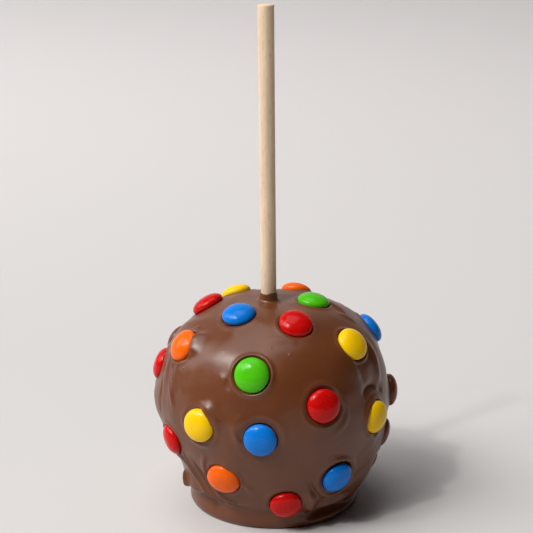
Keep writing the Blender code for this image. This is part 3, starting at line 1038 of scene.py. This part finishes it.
def tint(colour, factor):
    return (*(min(c * factor, 1.0) for c in colour[:3]), 1.0)


def chocolate_material(groups, settings):
    material, tree, shader, place = new_material("milk_chocolate")
    base = tuple(settings.colour)
    broad = patches(tree, groups, place, 17.0)
    fine = patches(tree, groups, place, 1.6, 3.0)
    tone = mix(tree, broad, tint(base, 0.93), tint(base, 1.07))
    tone = mix(tree, span(tree, fine, 0.0, 0.12), tone, tint(base, 1.5))
    tree.links.new(tone, shader.inputs["Base Color"])
    smudge = patches(tree, groups, place, 6.5, 4.0)
    add_rough(tree, shader, smudge, settings.roughness - 0.03, settings.roughness + 0.05)
    shader.inputs["IOR"].default_value = CHOCOLATE_IOR
    grains = use(tree, groups["grains"], place, size=0.55)
    soft = add_bump(tree, shader, fine, CHOCOLATE_RISE[0])
    add_bump(tree, shader, grains.outputs["Height"], CHOCOLATE_RISE[1], soft)
    return material


def shell_material(groups, name, colour, roughness):
    material, tree, shader, place = new_material(f"sugar_shell_{name}")
    each = patches(tree, groups, place, 30.0, 0.0)
    blotch = patches(tree, groups, place, 1.1, 3.0)
    grains = use(tree, groups["grains"], place, size=0.28)
    tone = mix(tree, each, tint(colour, 0.92), tint(colour, 1.06))
    tone = mix(tree, span(tree, blotch, 0.0, 0.16), tone, tint(colour, 0.72))
    # Pale flecks on the grains: partly the shell's own speckle, partly painted glints of its sugar grain,
    # spread evenly over the shell
    pale = tuple(0.8 * c + 0.2 for c in colour[:3]) + (1.0,)
    tone = mix(tree, span(tree, grains.outputs["Mask"], 0.0, 0.22), tone, pale)
    tree.links.new(tone, shader.inputs["Base Color"])
    add_rough(tree, shader, blotch, roughness - 0.04, roughness + 0.07)
    shader.inputs["IOR"].default_value = SHELL_IOR
    shader.inputs["Specular IOR Level"].default_value = SHELL_SPECULAR
    add_bump(tree, shader, grains.outputs["Height"], SHELL_RISE)
    return material


def wood_material(groups, settings, foot, top):
    material, tree, shader, place = new_material("birch_dowel")
    axis = Vector(top - foot).normalized()
    upright = add(tree, "ShaderNodeMapping")
    upright.inputs["Rotation"].default_value = axis.to_track_quat("Z", "Y").inverted().to_euler()
    tree.links.new(place, upright.inputs["Vector"])

    def stretched(across, along):
        node = add(tree, "ShaderNodeMapping")
        node.inputs["Scale"].default_value = (1 / across, 1 / across, 1 / along)
        tree.links.new(upright.outputs["Vector"], node.inputs["Vector"])
        return node.outputs["Vector"]

    light, dark = tuple(settings.light), tuple(settings.dark)
    grain = patches(tree, groups, stretched(0.9, 16.0), 1.0, 4.0)
    fleck = use(tree, groups["grains"], stretched(0.55, 3.2), size=1.0)
    cloudy = patches(tree, groups, stretched(5.0, 22.0), 1.0)
    tone = mix(tree, grain, light, tint(light, 0.84))
    tone = mix(tree, span(tree, cloudy, 0.0, 0.35), tone, tint(light, 1.12))
    tone = mix(tree, span(tree, fleck.outputs["Mask"], 0.0, 0.5), tone, dark)
    tree.links.new(tone, shader.inputs["Base Color"])
    add_rough(tree, shader, grain, 0.62, 0.74)
    shader.inputs["IOR"].default_value = WOOD_IOR
    fibre = add_bump(tree, shader, grain, WOOD_RISE[0])
    add_bump(tree, shader, fleck.outputs["Height"], WOOD_RISE[1], fibre)
    return material


def plain_material(name, colour, roughness):
    material, _, shader, _ = new_material(name)
    shader.inputs["Base Color"].default_value = tint(colour, 1.0)
    shader.inputs["Roughness"].default_value = roughness
    return material


# ---------------------------------------------------------------------------------------------
# Settings
# ---------------------------------------------------------------------------------------------


def colour_property(name, description, value):
    return FloatVectorProperty(
        name=name, description=description, default=value, size=4, min=0.0, max=1.0, subtype="COLOR"
    )


def length_property(name, description, value, least=0.0, most=1.0 * MM):
    return FloatProperty(
        name=name, description=description, default=value, min=least, max=most, unit="LENGTH", precision=5
    )


def share_property(name, description, value):
    return FloatProperty(
        name=name, description=description, default=value, min=0.0, max=1.0, subtype="FACTOR"
    )


class CoatSettings(bpy.types.PropertyGroup):
    """The dipped chocolate coat."""

    mesh_step: length_property(
        "Mesh step", "Distance between the coat's mesh points away from its details",
        1.05 * MM, 0.5 * MM, 3.0 * MM,
    )
    wave_height: length_property("Waves", "Height of the slow waves all over the coat", 0.26 * MM)
    colour: colour_property("Chocolate", "Colour of the milk chocolate", (0.134, 0.0395, 0.0122, 1.0))
    roughness: share_property("Roughness", "How dull the set chocolate is", 0.31)


class ShellSettings(bpy.types.PropertyGroup):
    """The sugar-shelled lentils."""

    red: colour_property("Red", "Colour of the red shells", (0.58, 0.002, 0.001, 1.0))
    orange: colour_property("Orange", "Colour of the orange shells", (0.96, 0.128, 0.001, 1.0))
    yellow: colour_property("Yellow", "Colour of the yellow shells", (1.0, 0.60, 0.001, 1.0))
    green: colour_property("Green", "Colour of the green shells", (0.075, 0.54, 0.004, 1.0))
    blue: colour_property("Blue", "Colour of the blue shells", (0.001, 0.185, 0.68, 1.0))
    brown: colour_property("Brown", "Colour of the brown shells", (0.19, 0.055, 0.027, 1.0))
    roughness: share_property("Roughness", "How dull the sugar shells are", 0.17)
    dents: length_property("Dents", "Depth of the unevenness of the shells", 0.1 * MM)


class StickSettings(bpy.types.PropertyGroup):
    """The wooden stick."""

    light: colour_property("Light wood", "Colour of the pale wood", (0.84, 0.645, 0.445, 1.0))
    dark: colour_property("Dark wood", "Colour of the pores and flecks", (0.49, 0.32, 0.18, 1.0))
    chamfer: length_property("Edge", "Rounding of the sawn ends", 0.3 * MM)


class StageSettings(bpy.types.PropertyGroup):
    """Table, lights and camera."""

    floor: colour_property("Table", "Colour of the table and the backdrop", (0.62, 0.607, 0.602, 1.0))
    wash_power: FloatProperty(
        name="Wash", description="Power of the light on the backdrop", default=11.0, unit="POWER"
    )
    air: FloatProperty(name="Air", description="Strength of the light from all sides", default=0.02, min=0.0)
    lens_length: FloatProperty(
        name="Lens", description="Focal length of the camera", default=111.985, subtype="DISTANCE_CAMERA"
    )


class AppleSettings(bpy.types.PropertyGroup):
    """All settings of the apple."""

    coat: PointerProperty(type=CoatSettings, name="Coat", description="Settings of the coat")
    shells: PointerProperty(type=ShellSettings, name="Lentils", description="Settings of the lentils")
    stick: PointerProperty(type=StickSettings, name="Stick", description="Settings of the stick")
    stage: PointerProperty(type=StageSettings, name="Stage", description="Table, lights and camera")


# ---------------------------------------------------------------------------------------------
# Operators
# ---------------------------------------------------------------------------------------------


def shared_groups():
    """The node groups that the materials share, made once."""
    makers = {"patches": patches_group, "grains": grains_group}
    return {name: bpy.data.node_groups.get(name.title()) or make() for name, make in makers.items()}


class APPLE_OT_coat(bpy.types.Operator):
    """Dip the apple: the coat with its folds, lips round the lentils, sleeve and pooled foot"""

    bl_idname = "apple.coat"
    bl_label = "Chocolate coat"

    def execute(self, context):
        settings = context.scene.apple.coat
        piece = make_coat(settings)
        piece.data.materials.append(chocolate_material(shared_groups(), settings))
        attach(piece, "root")
        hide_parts("coated_apple")
        return {"FINISHED"}


class APPLE_OT_shells(bpy.types.Operator):
    """Press the sugar-shelled lentils into the coat"""

    bl_idname = "apple.shells"
    bl_label = "Sugar shells"

    def execute(self, context):
        settings = context.scene.apple.shells
        finishes = {}
        form = make_shell_form()
        for lens in read_lenses():
            if lens.colour not in finishes:
                finishes[lens.colour] = shell_material(
                    shared_groups(), lens.colour, tuple(getattr(settings, lens.colour)), settings.roughness
                )
            name = f"shell_{lens.number:02d}_{lens.colour}"
            piece = copy_of(form, name)
            place = Matrix((lens.right, lens.up, lens.axis)).transposed().to_4x4()
            place.translation = Vector(lens.centre) * MM
            spin = Matrix.Rotation(lens.number * SHELL_SPIN, 4, "Z")
            size = Matrix.Diagonal((lens.radius * MM, lens.radius * MM, 2 * lens.thick * MM, 1.0))
            piece.matrix_world = place @ spin @ size
            settle(piece, name, finishes[lens.colour])
            dent(piece, settings.dents, DENT_SIZE, lens.number)
            piece.data.shade_smooth()
            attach(piece, "root")
            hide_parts(lens.node)
        bpy.data.objects.remove(form, do_unlink=True)
        return {"FINISHED"}


STICK_SIDES = 72
STICK_CUTS = 90                # cuts along it, for its slight unevenness
STICK_THIN = 0.048             # how much thinner it is at its foot, as a share of its radius
STICK_INSET = 0.006            # room for the unevenness inside the solid stick
STICK_UNEVEN = (               # share of the radius, times round, turn along its length, shift
    (0.004, 3, 9.0, 0.0), (0.003, 7, 0.0, 2.0), (0.002, 13, -6.0, 0.0),
)
STICK_SHARP = 50.0             # edges sharper than this stay sharp


class APPLE_OT_stick(bpy.types.Operator):
    """Make the wooden stick, sawn square and lightly sanded"""

    bl_idname = "apple.stick"
    bl_label = "Wooden stick"

    def execute(self, context):
        settings = context.scene.apple.stick
        foot, top, radius = read_stick()
        end = 0.5 * MM * float(np.linalg.norm(top - foot))
        deselect_all()
        bpy.ops.mesh.primitive_cylinder_add(
            vertices=STICK_SIDES, radius=radius * MM, depth=2 * end, end_fill_type="NGON"
        )
        piece = bpy.context.object
        pick_edges(piece, lambda a, b: abs(a.z - b.z) > end)
        bpy.ops.mesh.subdivide(number_cuts=STICK_CUTS)
        pick_edges(piece, lambda a, b: min(abs(a.z), abs(b.z)) > end - 1e-6)
        bpy.ops.mesh.bevel(offset=settings.chamfer, segments=3, affect="EDGES")
        bpy.ops.object.mode_set(mode="OBJECT")
        for vertex in piece.data.vertices:
            x, y, z = vertex.co
            turn = math.atan2(y, x)
            share = (z + end) / (2 * end)
            size = 1 - STICK_THIN * (1 - share) - STICK_INSET
            for depth, times, along, shift in STICK_UNEVEN:
                size += depth * math.sin(times * turn + along * share + shift)
            vertex.co = (x * size, y * size, z)
        axis = Vector(top - foot).normalized()
        place = axis.to_track_quat("Z", "Y").to_matrix().to_4x4()
        place.translation = Vector(0.5 * (foot + top)) * MM
        piece.matrix_world = place
        settle(piece, "stick_dowel", wood_material(shared_groups(), settings, foot, top))
        piece.data.shade_smooth()
        piece.data.set_sharp_from_angle(angle=math.radians(STICK_SHARP))
        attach(piece, "root")
        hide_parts("stick")
        return {"FINISHED"}


# Lights: name, azimuth, elevation, distance, size (m), power (W), colour
LAMPS = (
    ("lamp", -46.0, 52.0, 4.0, 0.24, 30.0, (1.0, 0.97, 0.93)),
    ("soft_box", -49.0, 52.0, 4.0, 1.5, 62.0, (1.0, 0.975, 0.95)),
    ("window", -76.0, 46.0, 4.0, 1.9, 80.0, (1.0, 0.985, 0.975)),
    ("left_wall", -108.0, 28.0, 4.0, 2.0, 32.0, (1.0, 0.985, 0.975)),
    ("ceiling", -120.0, 82.0, 4.0, 2.5, 44.0, (1.0, 0.985, 0.98)),
)
SQUARE_FROM = 1.0              # lights of this size and more are square

# The light on the backdrop, the air, the table and the camera, in metres
WASH_PLACE = (-0.7, 0.5, 1.3)
WASH_AIM = (0.2, 2.5, 1.2)
WASH_SIZE = 0.8
WASH_COLOUR = (1.0, 0.925, 0.945)
AIR_COLOUR = (1.0, 0.97, 0.96, 1.0)
SWEEP_SIZE = (7.0, 5.0, 1.0)   # width and depth of the table
SWEEP_RISE = 4.0               # height of the backdrop
SWEEP_BEND = 1.2               # radius of the bend between them
SWEEP_BACK = 0.7               # how far the table's middle is behind the apple
SWEEP_ROUGHNESS = 0.7
CAMERA_PLACE = (-0.0029, -0.650, 0.287)
CAMERA_TILT = 74.0             # from straight down
SENSOR_WIDTH = 36.0


def area_light(name, azimuth, elevation, distance, size, power, colour):
    """A soft light that looks at the middle of the apple."""
    data = bpy.data.lights.new(name, "AREA")
    data.shape = "SQUARE" if size >= SQUARE_FROM else "DISK"
    data.size = size
    data.energy = power
    data.color = colour
    lamp = bpy.data.objects.new(name, data)
    towards = Vector(direction(np.array(azimuth), np.array(elevation))[0])
    lamp.location = Vector(CORE) * MM + towards * distance
    lamp.rotation_euler = towards.to_track_quat("Z", "Y").to_euler()
    lamp.visible_camera = False
    bpy.context.scene.collection.objects.link(lamp)
    return lamp


def make_sweep(material):
    """Table and backdrop in one curved sheet."""
    deselect_all()
    bpy.ops.mesh.primitive_plane_add(size=1.0, location=(0, 0, 0))
    sweep = bpy.context.object
    bpy.ops.object.mode_set(mode="EDIT")
    bpy.ops.transform.resize(value=SWEEP_SIZE)
    pick_edges(sweep, lambda a, b: min(a.y, b.y) > 1)
    bpy.ops.mesh.extrude_region_move(TRANSFORM_OT_translate={"value": (0, 0, SWEEP_RISE)})
    pick_edges(sweep, lambda a, b: min(a.y, b.y) > 1 and max(a.z, b.z) < 0.01)
    bpy.ops.mesh.bevel(offset=SWEEP_BEND, segments=24, affect="EDGES")
    bpy.ops.object.mode_set(mode="OBJECT")
    sweep.location.y = SWEEP_BACK
    settle(sweep, "table_sweep", material)
    sweep.data.shade_smooth()
    return sweep


class APPLE_OT_stage(bpy.types.Operator):
    """Set the table, the studio lights and the camera"""

    bl_idname = "apple.stage"
    bl_label = "Stage"

    def execute(self, context):
        settings = context.scene.apple.stage
        make_sweep(plain_material("pale_table", tuple(settings.floor), SWEEP_ROUGHNESS))
        for lamp in LAMPS:
            area_light(*lamp)
        wash = area_light("backdrop_wash", 0.0, 0.0, 1.0, WASH_SIZE, settings.wash_power, WASH_COLOUR)
        wash.location = WASH_PLACE
        wash.rotation_euler = (wash.location - Vector(WASH_AIM)).to_track_quat("Z", "Y").to_euler()
        world = bpy.data.worlds.new("air")
        world.use_nodes = True
        sky = world.node_tree.nodes["Background"]
        sky.inputs["Color"].default_value = AIR_COLOUR
        sky.inputs["Strength"].default_value = settings.air
        context.scene.world = world
        data = bpy.data.cameras.new("camera")
        data.sensor_width = SENSOR_WIDTH
        data.lens = settings.lens_length
        camera = bpy.data.objects.new("camera", data)
        camera.location = CAMERA_PLACE
        camera.rotation_euler = (math.radians(CAMERA_TILT), 0.0, 0.0)
        context.scene.collection.objects.link(camera)
        context.scene.camera = camera
        context.scene.view_settings.view_transform = "Standard"
        context.scene.view_settings.look = "None"
        return {"FINISHED"}


class APPLE_PT_sidebar(bpy.types.Panel):
    """Lists the apple's pieces"""

    bl_idname = "APPLE_PT_sidebar"
    bl_label = "Chocolate covered apple"
    bl_space_type = "VIEW_3D"
    bl_region_type = "UI"
    bl_category = "Sweets"

    def draw(self, context):
        settings = context.scene.apple
        for part, operator in (
            (settings.coat, "apple.coat"), (settings.shells, "apple.shells"),
            (settings.stick, "apple.stick"), (settings.stage, "apple.stage"),
        ):
            box = self.layout.box()
            for name in part.__annotations__:
                box.prop(part, name)
            box.operator(operator)


CLASSES = (
    CoatSettings, ShellSettings, StickSettings, StageSettings, AppleSettings,
    APPLE_OT_coat, APPLE_OT_shells, APPLE_OT_stick, APPLE_OT_stage, APPLE_PT_sidebar,
)


def register():
    for item in CLASSES:
        bpy.utils.register_class(item)
    bpy.types.Scene.apple = PointerProperty(type=AppleSettings)


def unregister():
    del bpy.types.Scene.apple
    for item in reversed(CLASSES):
        bpy.utils.unregister_class(item)


def main():
    register()
    bpy.ops.apple.stage()
    bpy.ops.apple.coat()
    bpy.ops.apple.shells()
    bpy.ops.apple.stick()


if __name__ == "__main__":
    main()
